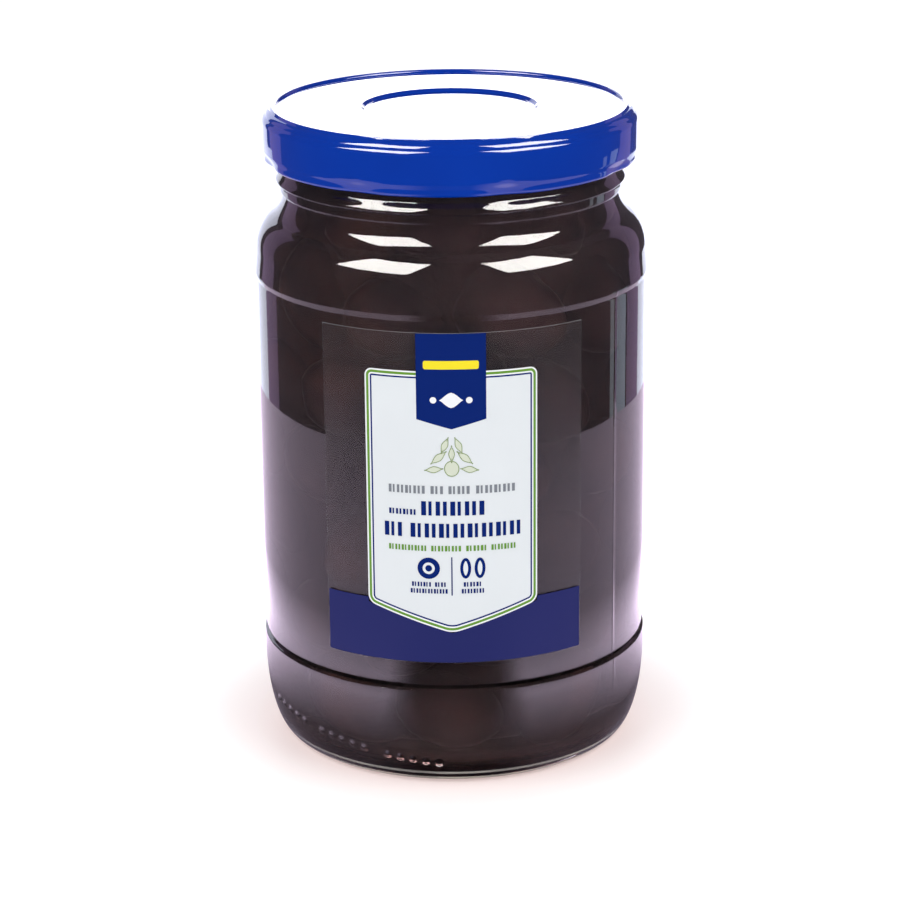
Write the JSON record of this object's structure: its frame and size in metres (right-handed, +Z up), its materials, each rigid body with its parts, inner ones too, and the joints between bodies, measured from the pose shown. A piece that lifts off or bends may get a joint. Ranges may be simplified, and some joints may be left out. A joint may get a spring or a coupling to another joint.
{
  "type": "jar of olives",
  "caption": "Large round clear glass jar packed with dark olives in brine, closed by a blue twist-off metal lid, with a clear film label on its front.",
  "frame": {"origin": "centre of the flat ring that the jar stands on", "axes": "+Z up along the jar's axis, +X to the right as the label is read, the label faces -Y"},
  "size_m": [0.1184, 0.1184, 0.1956],
  "materials": {
    "glass": "clear, glossy, moulded",
    "lid_paint": "glossy royal blue lacquer",
    "label_film": "printed clear film, satin",
    "olive_skin": "smooth wet skin, near black"
  },
  "bodies": {
    "root": {"glass_jar": "glass", "lid": "lid_paint", "label": "label_film", "olives": "olive_skin"}
  },
  "joints": []
}
